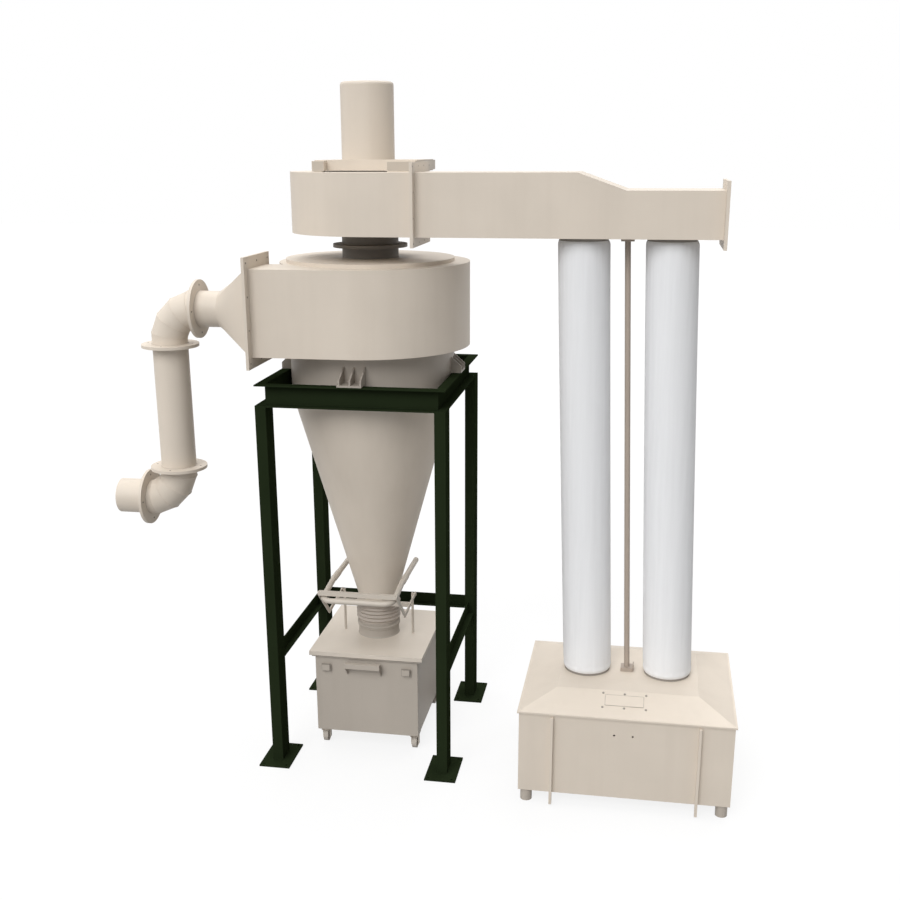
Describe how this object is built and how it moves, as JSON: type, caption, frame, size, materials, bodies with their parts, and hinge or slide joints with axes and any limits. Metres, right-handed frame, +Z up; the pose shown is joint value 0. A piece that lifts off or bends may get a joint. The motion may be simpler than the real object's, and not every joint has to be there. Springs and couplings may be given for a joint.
{
  "type": "cyclone dust collector",
  "caption": "Cyclone separator in a steel stand with a top-mounted fan, a side duct to upright filter bags on a dust box, and a wheeled bin under a lever-lifted lid.",
  "frame": {"origin": "middle of the footprint on the floor", "axes": "+X along the outlet duct towards the filter bags, +Y away from the front, +Z up"},
  "size_m": [4.339, 1.8014, 4.708],
  "materials": {
    "beige_paint": "satin",
    "motor_paint": "satin",
    "dark_steel": "satin",
    "green_paint": "satin",
    "filter_cloth": "woven",
    "bellows_rubber": "matt",
    "wheel_rubber": "matt",
    "cuff_paint": "satin",
    "castor_paint": "satin"
  },
  "bodies": {
    "machine": {"legs": "green_paint", "base_plates": "green_paint", "ring_beam": "green_paint", "braces": "green_paint", "support_brackets": "beige_paint", "barrel": "beige_paint", "cone": "beige_paint", "dust_spout": "beige_paint", "scroll_wall": "beige_paint", "scroll_plates": "beige_paint", "cap": "beige_paint", "gas_outlet_pipe": "dark_steel", "inlet_flange": "beige_paint", "square_to_round": "beige_paint", "upper_elbow": "beige_paint", "down_pipe": "beige_paint", "lower_elbow": "beige_paint", "inlet_stub": "beige_paint", "pipe_flanges": "beige_paint", "fan_casing": "beige_paint", "fan_outlet_flange": "beige_paint", "motor_rails": "beige_paint", "motor": "motor_paint", "outlet_duct": "beige_paint", "duct_end_plates": "beige_paint", "filter_bag_first": "filter_cloth", "filter_bag_second": "filter_cloth", "bag_cuffs": "cuff_paint", "tie_bar": "cuff_paint", "dust_box": "beige_paint", "dust_box_roof": "beige_paint", "access_cover": "beige_paint", "front_runners": "beige_paint", "dust_box_feet": "beige_paint", "bellows": "bellows_rubber", "pivot_bar": "beige_paint"},
    "bin": {"bin": "beige_paint", "bin_fittings": "beige_paint"},
    "lid": {"bin_lid": "beige_paint", "lift_rods": "beige_paint"},
    "lever": {"side_links": "beige_paint", "lever_tube": "beige_paint"},
    "fork_left_front": {"castor_fork_left_front": "castor_paint"},
    "wheel_left_front": {"castor_wheel_left_front": "wheel_rubber"},
    "fork_right_front": {"castor_fork_right_front": "castor_paint"},
    "wheel_right_front": {"castor_wheel_right_front": "wheel_rubber"},
    "fork_left_back": {"castor_fork_left_back": "castor_paint"},
    "wheel_left_back": {"castor_wheel_left_back": "wheel_rubber"},
    "fork_right_back": {"castor_fork_right_back": "castor_paint"},
    "wheel_right_back": {"castor_wheel_right_back": "wheel_rubber"}
  },
  "joints": [
    {"name": "bin_roll", "type": "slide", "parent": "machine", "child": "bin", "axis": [0, -1, 0], "range_m": [0, 1.3]},
    {"name": "castor_swivel_left_front", "type": "hinge", "parent": "bin", "child": "fork_left_front", "pos_m": [-0.7825, -0.27475, 0.13], "axis": [0, 0, 1], "continuous": true},
    {"name": "castor_spin_left_front", "type": "hinge", "parent": "fork_left_front", "child": "wheel_left_front", "pos_m": [-0.7825, -0.24075, 0.05], "axis": [1, 0, 0], "continuous": true},
    {"name": "castor_swivel_right_front", "type": "hinge", "parent": "bin", "child": "fork_right_front", "pos_m": [-0.1025, -0.27475, 0.13], "axis": [0, 0, 1], "continuous": true},
    {"name": "castor_spin_right_front", "type": "hinge", "parent": "fork_right_front", "child": "wheel_right_front", "pos_m": [-0.1025, -0.24075, 0.05], "axis": [1, 0, 0], "continuous": true},
    {"name": "castor_swivel_left_back", "type": "hinge", "parent": "bin", "child": "fork_left_back", "pos_m": [-0.7825, 0.46125, 0.13], "axis": [0, 0, 1], "continuous": true},
    {"name": "castor_spin_left_back", "type": "hinge", "parent": "fork_left_back", "child": "wheel_left_back", "pos_m": [-0.7825, 0.49525, 0.05], "axis": [1, 0, 0], "continuous": true},
    {"name": "castor_swivel_right_back", "type": "hinge", "parent": "bin", "child": "fork_right_back", "pos_m": [-0.1025, 0.46125, 0.13], "axis": [0, 0, 1], "continuous": true},
    {"name": "castor_spin_right_back", "type": "hinge", "parent": "fork_right_back", "child": "wheel_right_back", "pos_m": [-0.1025, 0.49525, 0.05], "axis": [1, 0, 0], "continuous": true},
    {"name": "lever_tilt", "type": "hinge", "parent": "machine", "child": "lever", "pos_m": [-0.4425, -0.08875, 1.078], "axis": [1, 0, 0], "range_deg": [0, 12]},
    {"name": "lid_lift", "type": "slide", "parent": "machine", "child": "lid", "axis": [0, 0, 1], "range_m": [0, 0.0396], "deforming": ["bellows"]}
  ],
  "couplings": [
    {"joint": "lid_lift", "follows": "lever_tilt", "m_per_rad": 0.189}
  ]
}
